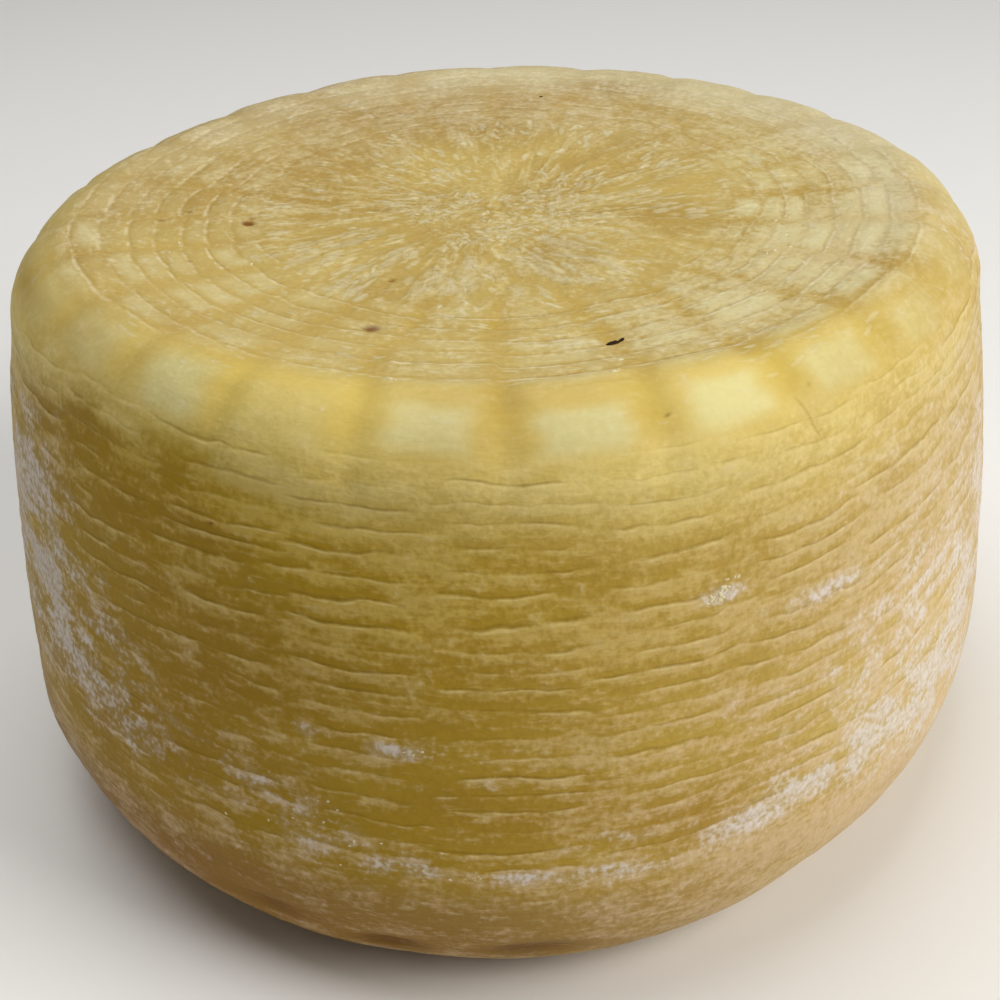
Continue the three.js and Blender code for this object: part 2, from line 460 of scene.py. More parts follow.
FILM_AND_SHADE_PATCHES = (
    (48, 92, 24, 32, 0.38),
    (-78, 100, 16, 24, 0.45),
    (-12, 104, 7, 5, 0.25),
    (-14, 108, 20, 14, -0.10),
    (-32, 64, 18, 14, -0.34),
    (-4, 124, 30, 5, 0.36),
    (-4, 72, 20, 18, -0.26),
    (-30, 119, 12, 6, 0.48),
    (30, 68, 8, 8, -0.20),
    (4, 79.5, 4, 3, 0.40),
    (9.6, 96.5, 5, 4, 0.35),
    (-17, 95.5, 6, 5, 0.30),
    (95, 85, 26, 34, 0.32),
    (150, 100, 24, 22, 0.25),
    (-150, 95, 26, 26, 0.28),
    (-105, 70, 18, 22, 0.22),
    (-46, 92, 24, 40, -0.38),
    # painted shade: the film is taken off under the shoulder on the left
    (-78, 131, 12, 5, -0.60),
    (2, 42, 16, 6, -0.30),
    (-40, 119, 18, 8, -0.10),
    (50, 34, 30, 26, 0.62),
    (66, 150, 22, 7, 0.55),
    (80, 148, 14, 6, 0.80),
    (-24, 32, 24, 12, -0.26),
    (-28, 28, 42, 22, -0.10),
    (180, 166, 45, 12, 0.30),
    (-68, 200, 18, 8, -0.30),
    (85, 186, 22, 9, -0.35),
    (66, 163, 22, 11, 1.0),
    (29, 158, 17, 10, 0.60),
    (115, 160, 18, 9, 0.30),
    (-62, 163, 30, 14, -0.55),
)

# Bare rind is browner here, by the same five numbers. The spots marked below are painted shade; the rest are
# the rind's own ochre.
OCHRE_AND_SHADE_SPOTS = (
    (0.5, 140, 2.6, 3.0, 0.35),
    (17.0, 58, 8, 8, 0.8),
    (2.0, 66, 9, 8, 0.6),
    (75.0, 120, 8, 10, 0.5),
    (-30.0, 111, 8, 4, 0.7),
    # painted shade on the left, where light falls off: this spot and the next two
    (-42.0, 96, 20, 16, 0.4),
    (-78.0, 131, 10, 4, 0.9),
    (-78.0, 141, 16, 7, 0.55),
    (158.0, 150, 8, 6, 0.8),
    # painted shade low on the left
    (-44.0, 34, 16, 10, 0.8),
)

# Low on the foot, near the table, it is painted dark as shadow and is a little dented.
FOOT_DENTS_AND_SHADOW = (
    (-14.5, 27.8, 3.4, 3.0, 1.7),
    (0.8, 28.6, 4.8, 3.0, 1.7),
    (-28.0, 33.5, 5.0, 2.6, 1.2),
    (38.0, 24.0, 6.0, 3.0, 0.6),
    (118.0, 25.0, 7.0, 3.0, 0.8),
    (-128.0, 25.0, 5.0, 3.0, 0.8),
)
FOOT_DENT = 0.7


def patches(turn, run, table):
    total = 0 * turn
    for bearing, at, width, high, weight in table:
        away = (turned_from(turn, bearing) / math.radians(width)) ** 2 + ((run - at) / high) ** 2
        total = total + weight * np.exp(-away)
    return total


# The mesh is rings of points, close together where the print is fine, with fewer points towards the middles.
COLUMNS = 16 * STAKES
RING_SPACING = (
    # run, and how far apart the rings lie from there on
    (-BASE_RADIUS, 4.0),
    (0.0, 1.6),
    (LOWEST_RUSH - 5, 0.62),
    (HIGHEST_RUSH + 2, 0.92),
    (TOP_RUN, 0),
)


def ring_columns(run, radius):
    needed = 0.55 if run > 0 else 1.0  # the underside needs fewer points
    columns = COLUMNS
    while columns > STAKES and radius < needed * columns * BASE_RADIUS / COLUMNS:
        columns //= 2
    return columns


def rind_rings():
    runs = []
    for (start, spacing), (end, _) in zip(RING_SPACING[:-1], RING_SPACING[1:]):
        runs.extend(np.linspace(start, end, round((end - start) / spacing), endpoint=False))
    runs.append(TOP_RUN)
    radii = np.interp(runs, outline_run, outline[:, 0])
    columns = [ring_columns(run, radius) for run, radius in zip(runs, radii)]
    columns[0] = columns[-1] = 1
    return runs, columns


def ring_faces(start, count, after, after_count):
    """The faces from one ring to the next, which has as many points, half or twice as many, or just one."""
    if count == after_count:
        pairs = [(j, (j + 1) % count) for j in range(count)]
        return [(start + j, start + k, after + k, after + j) for j, k in pairs]
    if count == 1:
        return [(start, after + (j + 1) % after_count, after + j) for j in range(after_count)]
    if after_count == 1:
        return [(start + j, start + (j + 1) % count, after) for j in range(count)]
    faces = []
    for j in range(min(count, after_count)):
        if count > after_count:
            a, b, c = (start + (2 * j + k) % count for k in range(3))
            d, e = after + j, after + (j + 1) % after_count
            faces += [(a, b, d), (b, c, e, d)]
        else:
            a, b = start + j, start + (j + 1) % count
            c, d, e = (after + (2 * j + k) % after_count for k in range(3))
            faces += [(a, b, e, d), (a, d, c)]
    return faces


runs, columns = rind_rings()
starts = [0] + [int(total) for total in np.cumsum(columns)]
run = np.repeat(runs, columns)
turn = np.concatenate([np.arange(count) * (2 * math.pi / count) for count in columns])
turn = turned_from(turn, 0)
rind_faces = []
for i in range(len(columns) - 1):
    rind_faces += ring_faces(starts[i], columns[i], starts[i + 1], columns[i + 1])


def rind_relief(turn, run):
    """How far the rind stands out from the smooth wheel, in millimetres."""
    radius = np.interp(run, outline_run, outline[:, 0])
    on_face = fade(RIM_RUN - 5, RIM_RUN + 2, run)
    on_top = fade(RIM_RUN - 10, RIM_RUN - 4, run)
    x_flat, y_flat = face_place(turn, radius)
    broad = 0.60 * round_wall(turn, run, 55, 38, 51) + 0.32 * round_wall(turn, run, 20, 14, 52)
    flat_broad = 0.45 * round_face(x_flat, y_flat, 40, 54) + 0.25 * round_face(x_flat, y_flat, 16, 55)
    broad = broad * (1 - on_face) + flat_broad * on_face
    small = 0.09 * round_wall(turn, run, 3.3, 2.2, 53)
    relief = (broad + small * fade(0, 12, radius)) * fade(2, 20, run)
    relief = relief + rush_relief(*rush_rows(turn, run, 0)) + rush_relief(*rush_rows(turn, run, 1))
    relief = relief + shoulder_relief(turn, run)
    relief = relief + face_relief(turn, radius, on_top, on_face)
    relief = relief - FOOT_DENT * patches(turn, run, FOOT_DENTS_AND_SHADOW)
    scratch_across, scratched = scratch_place(turn, run)
    nick = SCRATCH_DEPTH * scratched * np.exp(-((scratch_across / SCRATCH_HALF) ** 2))
    return relief - holes(turn, run)[0] - nick


def rind_points(turn, run, lift):
    """Places on the rind in millimetres, raised off it by so much."""
    radius = np.interp(run, outline_run, outline[:, 0])
    rise = np.interp(run, outline_run, outline[:, 1])
    out = rind_relief(turn, run) + lift
    radius_out = (radius + out * np.interp(run, outline_run, outline_way[:, 1])) * roundness(turn, rise)
    height_out = np.maximum(rise - out * np.interp(run, outline_run, outline_way[:, 0]), 0)
    return np.stack([radius_out * np.sin(turn), -radius_out * np.cos(turn), height_out], 1)


points = rind_points(turn, run, 0)
middle = (points[:, :2].min(0) + points[:, :2].max(0)) / 2
points[:, :2] -= middle


def object_of(name, points, faces):
    """A smooth object made of points in millimetres and the faces between them."""
    mesh = bpy.data.meshes.new(name)
    mesh.from_pydata((points * MM).tolist(), [], faces)
    mesh.shade_smooth()
    made = bpy.data.objects.new(name, mesh)
    bpy.context.scene.collection.objects.link(made)
    return made


wheel = object_of("pressed_wheel", points, rind_faces)


def store(mesh, name, values):
    """Keep one number, or one set of three, for each point of the mesh, for the finish to read."""
    values = np.asarray(values, np.float32)
    kind, field = ("FLOAT", "value") if values.ndim == 1 else ("FLOAT_VECTOR", "vector")
    mesh.attributes.new(name, kind, "POINT").data.foreach_set(field, values.ravel())


# The finest grain lies along the rushes on the wall, and along the creases on the face.
GRAIN_WIDE = 4.4  # mm round the wall
GRAIN_HIGH = 1.1  # mm up the wall
GRAIN_WOVEN = 1.6  # mm inwards across the face's woven rows
GRAIN_LONG = 4.6  # mm along a crease
GRAIN_KNOT = 2.2  # mm across the knot, where the grain runs no one way
STRATA_SHARE = (0.75, 0.75, 0.36)  # the coarser mottle's scale against the fine grain's


def dress(mesh, turn, run, flake):
    """Keep what the finish reads: how thick film and bloom lie, and what shape each point is part of."""
    radius = np.interp(run, outline_run, outline[:, 0])
    x_flat, y_flat = face_place(turn, radius)
    on_face = fade(RIM_RUN - 5, RIM_RUN + 2, run)
    on_top = fade(RIM_RUN - 10, RIM_RUN - 4, run)
    rim_place = run + weave_spill(turn)
    pale_from = HIGHEST_RUSH - 25 + 18 * near(turn, -42, 30) + 4 * near(turn, 2, 12)
    even_row, even_strength = rush_rows(turn, run, 0)
    odd_row, odd_strength = rush_rows(turn, run, 1)
    weave_row, weave_strength = weave_rows(turn, radius)
    lobe, notch = shoulder_lobes(turn, run)
    stake = stake_print(turn, radius) * on_face
    crease = creases(turn, radius) * fade(WEAVE_INNER + 6, WEAVE_INNER - 8, radius) * on_face
    mottle = 0.5 * round_wall(turn, run, 14, 6, 61) + 0.5 * round_wall(turn, run, 6, 2.6, 62)
    face_mottle = 0.6 * round_face(x_flat, y_flat, 9, 63) + 0.4 * round_face(x_flat, y_flat, 4, 64)
    # The film: mottled on the wall, thick or thin in places, thin in the face's prints, gone under the foot's
    # painted shadow.
    film = (0.20 + 0.20 * near(turn, -42, 40)) * mottle * (1 - on_face)
    film = film + 0.5 * patches(turn, run, FILM_AND_SHADE_PATCHES)
    film = film + on_face * (0.16 * face_mottle + 0.10 * crease - 0.30 * stake - 0.10)
    # painted shadow low on the foot, near the table
    foot_shadow = patches(turn, run, FOOT_DENTS_AND_SHADOW) * (0.8 + 0.5 * mottle)
    film = film - 0.9 * foot_shadow
    # The hues: bare rind wanders to ochre, and is darker towards the lower left and in some spots as painted
    # shade. Pink is the film's tint down the sides.
    ochre_and_shade = 0.36 + 0.5 * round_wall(turn, run, 45, 22, 67) + 0.2 * round_wall(turn, run, 12, 7, 68)
    ochre_and_shade = ochre_and_shade + 0.9 * near(turn, -38, 34) * fade(104, 62, run) + patches(turn, run, OCHRE_AND_SHADE_SPOTS)
    pink = (0.45 + 0.4 * near(turn, 50, 40)) * fade(108, 66, run)
    pink = pink + 0.16 * near(turn, -42, 30) * fade(124, 112, run)
    # The shoulder dried palest over the front and the left.
    front = 0.45 + 0.55 * np.maximum(near(turn, 10, 75), near(turn, -60, 45)) - 0.16 * near(turn, -26, 14)
    far_side = np.clip(near(turn, 120, 40) + near(turn, 195, 60), 0, 1)
    scratch_across, scratched = scratch_place(turn, run)
    cluster = 0.5 * round_wall(turn, run, 9, 5, 65) + 0.5 * round_wall(turn, run, 4, 2.4, 66)
    bloom = patches(turn, run, BLOOM_PATCHES) * (1 + 1.25 * cluster) + 0.07 * cluster
    # In the smooth band of the lobes, grain and film hardly show.
    calm = fade(HIGHEST_RUSH - 5, HIGHEST_RUSH + 3, run) * fade(RIM_RUN + 9, RIM_RUN - 2, rim_place) * front
    grain_turn = np.where(run > RIM_RUN, creased_turn(turn, radius), turn)
    inside = np.maximum(run - RIM_RUN, 0)
    woven_part = np.minimum(inside, FACE_RADIUS - WEAVE_INNER)
    grain_up = np.minimum(run, RIM_RUN) / GRAIN_HIGH + woven_part / GRAIN_WOVEN
    grain_up = grain_up + (inside - woven_part) / GRAIN_LONG
    knot = fade(19, 7, radius) * on_face
    reach = GIRTH / GRAIN_WIDE * (1 - knot) + radius / GRAIN_KNOT * knot
    grain_place = [reach * np.sin(grain_turn), reach * np.cos(grain_turn), grain_up]
    for name, values in (
        ("even_row", even_row),
        ("even_strength", even_strength),
        ("odd_row", odd_row),
        ("odd_strength", odd_strength),
        ("weave_row", weave_row),
        ("weave_strength", weave_strength * on_top),
        ("pad", woven_pads(turn, radius) * on_top),
        ("film", film),
        ("bloom", bloom),
        ("ochre_and_shade", ochre_and_shade),
        ("pink", np.clip(1.5 * bloom + pink, 0, 1)),
        ("calm", calm),
        ("dry", np.maximum(near(turn, 60, 46), 0.7 * near(turn, 170, 40))),
        ("foot", fade(LOWEST_RUSH + 4, LOWEST_RUSH - 10, run)),
        # The base zone is painted shade: dark brown where the wheel curves under to the table, and in the
        # foot's painted shadow.
        ("base", np.clip(fade(12, 0, run) + foot_shadow, 0, 1)),
        ("shoulder", fade(pale_from, HIGHEST_RUSH, run + 3 * mottle) * front),
        ("notch", notch * fade(HIGHEST_RUSH, LOBE_RUN, run) * fade(RIM_RUN + 5, RIM_RUN - 2, run)),
        ("lobe", lobe),
        ("face", fade(RIM_RUN - 3, RIM_RUN + 7, rim_place + 2 * mottle)),
        ("far_face", on_face * near(turn, 190, 60) * fade(30, 60, radius)),
        ("far_rim", far_side * fade(64, 80, radius) * fade(HIGHEST_RUSH - 2, LOBE_RUN, run)),
        ("stake", stake),
        ("hole", holes(turn, run)[1]),
        ("scratch_across", scratch_across),
        ("scratched", scratched),
        ("flake", flake),
        ("grain_place", np.stack(grain_place, 1)),
    ):
        store(mesh, name, values)


dress(wheel.data, turn, run, 0 * turn)


def linear(hex_colour):
    """An sRGB hex colour as linear red, green, blue and alpha."""
    parts = [int(hex_colour[i : i + 2], 16) / 255 for i in (1, 3, 5)]
    return [p / 12.92 if p <= 0.04045 else ((p + 0.055) / 1.055) ** 2.4 for p in parts] + [1.0]


def node(material, kind, inputs, output=0, **settings):
    """Add one node with its settings, link or set its inputs, and give back one of its outputs. A Mix of
    colours takes them at inputs 6 and 7, and gives the mixed one at output 2."""
    tree = material.node_tree
    made = tree.nodes.new("ShaderNode" + kind)
    for name, value in settings.items():
        setattr(made, name, value)
    for socket, value in inputs.items():
        if isinstance(value, bpy.types.NodeSocket):
            tree.links.new(value, made.inputs[socket])
        else:
            made.inputs[socket].default_value = value
    return made.outputs[output]


# Aged rind: hard, dry curd, a little waxy. It is amber where it is bare and paler under the film, and the
# bloom lies on it as grey-white powder. Each zone has a bare colour and a film colour.
WALL_BARE, WALL_FILM = "#AB8B16", "#D5B856"
ZONES = (
    ("foot", "#987838", "#C4A884"),
    # painted shade, where the wheel curves under to the table
    ("base", "#4C2612", "#583018"),
    ("dry", "#CAB068", "#D7C3A0"),
    ("shoulder", "#DFC874", "#E5D28C"),
    ("notch", "#D2B85C", "#D8C272"),
    ("lobe", "#E4DFA2", "#E8E3B0"),
    ("face", "#C3A961", "#DCD0A0"),
    ("far_face", "#B49A62", "#CDBC94"),
    ("far_rim", "#CABC90", "#E0D6B6"),
    ("stake", "#C2A450", "#D0B46E"),
)
# dark ochre, which is also painted shade on the left
OCHRE_AND_SHADE = linear("#8E6410")
PINKISH = linear("#DCC0A0")
FLAKE = linear("#EDE3BE")
PAD = linear("#E2DCAC")
# painted shade along the wall's creases, and the colour of the face's woven lines
CREASE_BROWN = linear("#745810")
# painted highlight, on the lips' sharp edges and on the grain's crests
PAINTED_HIGHLIGHT = linear("#E8D698")
BLOOM_WHITE = linear("#DAD4CE")
HOLE_BROWN = linear("#703A04")
SCRATCH_AMBER = linear("#A8852E")
RAGGED_SIZE = 6.0  # mm, of the waves that make a crease's edge ragged
POWDER_SIZE = 1.2  # mm: mould is finer than this, and is drawn as coarse as it needs to show
LIGHT_REACH = 3.0  # mm that red light goes into the curd

rind = bpy.data.materials.new("aged_sheep_cheese_rind")
rind.use_nodes = True
read = {}
for name, kept in wheel.data.attributes.items():
    if kept.domain == "POINT" and name != "position":
        socket = 1 if kept.data_type == "FLOAT_VECTOR" else 2
        read[name] = node(rind, "Attribute", {}, output=socket, attribute_name=name)

place = node(rind, "TexCoord", {}, output=3)  # the object's own coordinates, in metres
coarse_place = node(rind, "VectorMath", {0: read["grain_place"], 1: STRATA_SHARE}, operation="MULTIPLY")
wobble = node(rind, "TexNoise", {"Vector": place, "Scale": 1 / (RAGGED_SIZE * MM), "Detail": 1.0})
strata = node(rind, "TexNoise", {"Vector": coarse_place, "Scale": 1.0, "Detail": 3.0, "Roughness": 0.62})
powder_scale = 1 / (POWDER_SIZE * MM)
powder = node(rind, "TexNoise", {"Vector": place, "Scale": powder_scale, "Detail": 1.0, "Roughness": 0.6})
grain = node(rind, "TexNoise", {"Vector": read["grain_place"], "Scale": 1.0, "Detail": 2.0, "Roughness": 0.6})

# Millimetres up from the nearest crease of the wall, made ragged. The band just above a crease is painted
# darker as shade, by taking the film off there, and the film is thicker on the lip just below it. Each starts
# at one height, is full between the two in the middle and ends at the last.
BAND_HEIGHTS = (2.0, 0.3, 0.15, -0.1)
LIP_HEIGHTS = (-2.0, -0.7, -0.40, -0.10)
EDGE_HEIGHT = -0.52  # the sharp edge of a lip, where a pale line is painted as highlight
ragged = node(rind, "Math", {0: wobble, 1: 1.1, 2: -0.90}, operation="MULTIPLY_ADD")
ragged = node(rind, "Math", {0: strata, 1: 0.7, 2: ragged}, operation="MULTIPLY_ADD")
edge_room = node(rind, "MapRange", {0: grain, 1: 0.38, 2: 0.56}, interpolation_type="SMOOTHSTEP")
# A dark line is painted along each crease of the wall as shade.
crease_shade, lip_highlight, shade_and_film = 0.0, 0.0, [0.0, 0.0]
for side in ("even", "odd"):
    row, strength = read[side + "_row"], read[side + "_strength"]
    nearest = node(rind, "Math", {0: row}, operation="ROUND")
    up = node(rind, "Math", {0: row, 1: nearest}, operation="SUBTRACT")
    up = node(rind, "Math", {0: up, 1: RUSH_PITCH, 2: ragged}, operation="MULTIPLY_ADD")
    away = node(rind, "Math", {0: up}, operation="ABSOLUTE")
    drawn = node(rind, "MapRange", {0: strength, 1: 0.20, 2: 0.95, 3: 0.0, 4: 1.0})
    line_half = node(rind, "Math", {0: strength, 1: 0.36, 2: 0.12}, operation="MULTIPLY_ADD")
    mask = node(rind, "MapRange", {0: away, 1: line_half, 2: 0.05}, interpolation_type="SMOOTHSTEP")
    crease_shade = node(rind, "Math", {0: mask, 1: drawn, 2: crease_shade}, operation="MULTIPLY_ADD")
    for i, (start, full, full_end, end) in enumerate((BAND_HEIGHTS, LIP_HEIGHTS)):
        mask = node(rind, "MapRange", {0: up, 1: start, 2: full}, interpolation_type="SMOOTHSTEP")
        mask_end = node(rind, "MapRange", {0: up, 1: end, 2: full_end}, interpolation_type="SMOOTHSTEP")
        mask = node(rind, "Math", {0: mask, 1: mask_end}, operation="MULTIPLY")
        shade_and_film[i] = node(rind, "Math", {0: mask, 1: strength, 2: shade_and_film[i]}, operation="MULTIPLY_ADD")
    mask = node(rind, "Math", {0: up, 1: EDGE_HEIGHT}, operation="SUBTRACT")
    mask = node(rind, "Math", {0: mask}, operation="ABSOLUTE")
    mask = node(rind, "MapRange", {0: mask, 1: 0.34, 2: 0.06}, interpolation_type="SMOOTHSTEP")
    mask = node(rind, "Math", {0: mask, 1: edge_room}, operation="MULTIPLY")
    lip_highlight = node(rind, "Math", {0: mask, 1: drawn, 2: lip_highlight}, operation="MULTIPLY_ADD")
band, lip = shade_and_film
crease_shade = node(rind, "Math", {0: crease_shade, 1: 1.0}, operation="MINIMUM")
lip_highlight = node(rind, "Math", {0: lip_highlight, 1: 1.0}, operation="MINIMUM")

# The face's woven rows have thin olive lines in the grooves between their pads, each with a pale edge outside
# it.
face_row = node(rind, "Math", {0: read["weave_row"]}, operation="ROUND")
face_up = node(rind, "Math", {0: read["weave_row"], 1: face_row}, operation="SUBTRACT")
face_up = node(rind, "Math", {0: face_up, 1: WEAVE_PITCH, 2: ragged}, operation="MULTIPLY_ADD")
face_away = node(rind, "Math", {0: face_up}, operation="ABSOLUTE")
face_line = node(rind, "MapRange", {0: face_away, 1: 0.55, 2: 0.08}, interpolation_type="SMOOTHSTEP")
face_edge = node(rind, "Math", {0: face_up, 1: 0.70}, operation="SUBTRACT")
face_edge = node(rind, "Math", {0: face_edge}, operation="ABSOLUTE")
face_edge = node(rind, "MapRange", {0: face_edge, 1: 0.60, 2: 0.10}, interpolation_type="SMOOTHSTEP")
face_edge = node(rind, "Math", {0: face_edge, 1: edge_room}, operation="MULTIPLY")
face_line, face_edge = (
    node(rind, "Math", {0: mark, 1: read["weave_strength"]}, operation="MULTIPLY", use_clamp=True)
    for mark in (face_line, face_edge)
)

# The film is thin and broken: its own thickness, plus mottle and grain, less what the rushes rubbed off.
film_depth = read["film"]
for part, share in ((strata, 1.0), (grain, 0.70), (powder, 0.60), (band, -0.38), (lip, 0.34)):
    film_depth = node(rind, "Math", {0: part, 1: share, 2: film_depth}, operation="MULTIPLY_ADD")
film_cover = node(rind, "MapRange", {0: film_depth, 1: 0.88, 2: 1.50}, interpolation_type="SMOOTHSTEP")
film_share = node(rind, "Math", {0: read["calm"], 1: -0.36, 2: 0.54}, operation="MULTIPLY_ADD")
film_share = node(rind, "Math", {0: read["face"], 1: 0.04, 2: film_share}, operation="MULTIPLY_ADD")
film_cover = node(rind, "Math", {0: film_cover, 1: film_share}, operation="MULTIPLY")

bare_colour, film_colour = linear(WALL_BARE), linear(WALL_FILM)
for name, bare, over in ZONES:
    bare, over = linear(bare), linear(over)
    bare_colour = node(rind, "Mix", {0: read[name], 6: bare_colour, 7: bare}, output=2, data_type="RGBA")
    film_colour = node(rind, "Mix", {0: read[name], 6: film_colour, 7: over}, output=2, data_type="RGBA")

# Fine pale streaks along the crests of the grain, which lies along the rushes, are painted highlight.
grain_highlight = node(rind, "MapRange", {0: grain, 1: 0.56, 2: 0.74}, interpolation_type="SMOOTHSTEP")
grain_highlight = node(rind, "Math", {0: grain_highlight, 1: film_share}, operation="MULTIPLY")

# The broad hue wanders between olive and ochre where the rind is bare, and the same dark ochre is painted
# shade towards the lower left. The film is pink where mould is near.
ochre_and_shade_mix = node(rind, "Math", {0: read["ochre_and_shade"], 1: 0.45}, operation="MULTIPLY", use_clamp=True)
bare_colour = node(rind, "Mix", {0: ochre_and_shade_mix, 6: bare_colour, 7: OCHRE_AND_SHADE}, output=2, data_type="RGBA")
film_colour = node(rind, "Mix", {0: read["pink"], 6: film_colour, 7: PINKISH}, output=2, data_type="RGBA")

# The bloom is powder: a faint veil with separate crumbly grains in it.
bloom_veil = node(rind, "Math", {0: strata, 1: 1.0, 2: read["bloom"]}, operation="MULTIPLY_ADD")
bloom_veil = node(rind, "MapRange", {0: bloom_veil, 1: 0.62, 2: 1.20, 3: 0.0, 4: 0.50})
bloom_depth = node(rind, "Math", {0: read["bloom"], 1: 1.5}, operation="MULTIPLY")
for part, share in ((strata, 1.0), (powder, 1.1), (band, -0.3)):
    bloom_depth = node(rind, "Math", {0: part, 1: share, 2: bloom_depth}, operation="MULTIPLY_ADD")
bloom_grains = node(rind, "MapRange", {0: bloom_depth, 1: 1.22, 2: 2.14}, interpolation_type="SMOOTHSTEP")
bloom_cover = node(rind, "Math", {0: bloom_veil, 1: bloom_grains}, operation="MAXIMUM")
bloom_pits = node(rind, "MapRange", {0: powder, 1: 0.34, 2: 0.60, 3: 0.50, 4: 1.0})
bloom_cover = node(rind, "Math", {0: bloom_cover, 1: bloom_pits}, operation="MULTIPLY")

hole_cover = node(rind, "MapRange", {0: read["hole"], 1: 0.15, 2: 0.75}, interpolation_type="SMOOTHSTEP")
scratch_away = node(rind, "Math", {0: wobble, 1: 2.2, 2: read["scratch_across"]}, operation="MULTIPLY_ADD")
scratch_away = node(rind, "Math", {0: scratch_away, 1: 1.1}, operation="SUBTRACT")
scratch_away = node(rind, "Math", {0: scratch_away}, operation="ABSOLUTE")
scratch_cover = node(rind, "MapRange", {0: scratch_away, 1: 0.42, 2: 0.05}, interpolation_type="SMOOTHSTEP")
scratch_cover = node(rind, "Math", {0: scratch_cover, 1: read["scratched"]}, operation="MULTIPLY")
colour = node(rind, "Mix", {0: film_cover, 6: bare_colour, 7: film_colour}, output=2, data_type="RGBA")
for cover, share, coat in (
    (read["pad"], 0.80, PAD),
    # painted highlight along the sharp edge of each lip
    (lip_highlight, 0.36, PAINTED_HIGHLIGHT),
    # painted highlight on the grain's crests
    (grain_highlight, 0.24, PAINTED_HIGHLIGHT),
    (read["flake"], 0.56, FLAKE),
    # painted shade along each crease of the wall
    (crease_shade, 0.40, CREASE_BROWN),
    (face_edge, 0.50, FLAKE),
    (face_line, 0.20, CREASE_BROWN),
    (bloom_cover, 0.78, BLOOM_WHITE),
    (hole_cover, 0.85, HOLE_BROWN),
    (scratch_cover, 0.34, SCRATCH_AMBER),
):
    amount = node(rind, "Math", {0: cover, 1: share}, operation="MULTIPLY")
    colour = node(rind, "Mix", {0: amount, 6: colour, 7: coat}, output=2, data_type="RGBA")
spread = node(rind, "Math", {0: read["calm"], 1: -0.16, 2: 0.22}, operation="MULTIPLY_ADD")
shade = node(rind, "Math", {0: powder, 1: 0.5}, operation="SUBTRACT")
shade = node(rind, "Math", {0: shade, 1: spread, 2: 1.0}, operation="MULTIPLY_ADD")
colour = node(rind, "HueSaturation", {"Value": shade, "Color": colour})

# Relief finer than the mesh: how far the mottle, the grain and the powder stand up, in millimetres. The lobes
# are the smoothest part.
height = node(rind, "Math", {0: grain, 1: 0.20}, operation="MULTIPLY")
for part, thick in ((strata, 0.26), (powder, 0.16)):
    height = node(rind, "Math", {0: part, 1: thick, 2: height}, operation="MULTIPLY_ADD")
rough = node(rind, "Math", {0: read["calm"], 1: -0.7, 2: 1.0}, operation="MULTIPLY_ADD")
rough = node(rind, "Math", {0: read["face"], 1: -0.3, 2: rough}, operation="MULTIPLY_ADD")
height = node(rind, "Math", {0: height, 1: rough}, operation="MULTIPLY")
bump = node(rind, "Bump", {"Strength": 0.8, "Distance": MM, "Height": height})

matt = node(rind, "Math", {0: bloom_cover, 1: 0.3, 2: 0.5}, operation="MULTIPLY_ADD")
principled = rind.node_tree.nodes["Principled BSDF"]
for socket, value in (("Base Color", colour), ("Roughness", matt), ("Normal", bump)):
    rind.node_tree.links.new(value, principled.inputs[socket])
principled.inputs["IOR"].default_value = 1.45
principled.inputs["Specular IOR Level"].default_value = 0.12
principled.inputs["Subsurface Weight"].default_value = 0.10
principled.inputs["Subsurface Radius"].default_value = (1.0, 0.6, 0.25)
principled.inputs["Subsurface Scale"].default_value = LIGHT_REACH * MM
wheel.data.materials.append(rind)
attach(wheel, "root")
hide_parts("cheese_wheel")

# ---------------------------------------------------------------------------------------------------------
# Dry flakes of rind
# Slivers of the face that dried pale and lifted along the creases: the same curd, thin as paper. Each one is
# a low ridge of its own, sunk into the rind along its edge. They run in to the middle, cross at the knot, and
# lie along the rows of the woven ring.
# ---------------------------------------------------------------------------------------------------------
FLAKES = (
    # how many, nearest and farthest from the middle, bearing, half width in degrees,
    # length, half width, rise, tone, stray in degrees, turned from the way in
    (280, 7, 24, 0, 180, 4.0, 1.00, 0.17, 0.95, 60, 14),
    (600, 20, 50, 0, 180, 4.8, 1.00, 0.15, 0.90, 22, 14),
    (80, 18, 42, 0, 45, 10.0, 1.60, 0.18, 0.75, 8, 10),
    (60, 22, 50, -55, 25, 8.5, 1.40, 0.18, 0.90, 7, 10),
    (60, 14, 44, 100, 30, 6.0, 1.20, 0.17, 0.85, 10, 10),
    (190, 0, 16, 0, 180, 3.6, 0.90, 0.20, 1.00, 180, 0),
    (200, 50, 88, -80, 50, 4.6, 0.95, 0.09, 0.50, 14, 90),
    (230, 50, 89, 75, 48, 4.6, 0.95, 0.10, 0.55, 16, 90),
    (220, 48, 90, 180, 60, 4.2, 1.00, 0.09, 0.50, 25, 80),
    (170, 50, 82, 4, 30, 4.4, 0.95, 0.10, 0.80, 14, 90),
)
FLAKE_SUNK = 0.05  # how deep a flake's edge lies in the rind
pick = np.random.default_rng(71)
FLAKE_LONG, FLAKE_WIDE = 5, 3  # points along one flake and across it
share_along = np.linspace(-1, 1, FLAKE_LONG)[:, None]
share_across = np.linspace(-1, 1, FLAKE_WIDE)[None, :]
flake_x, flake_y, flake_lift, flake_tone = [], [], [], []
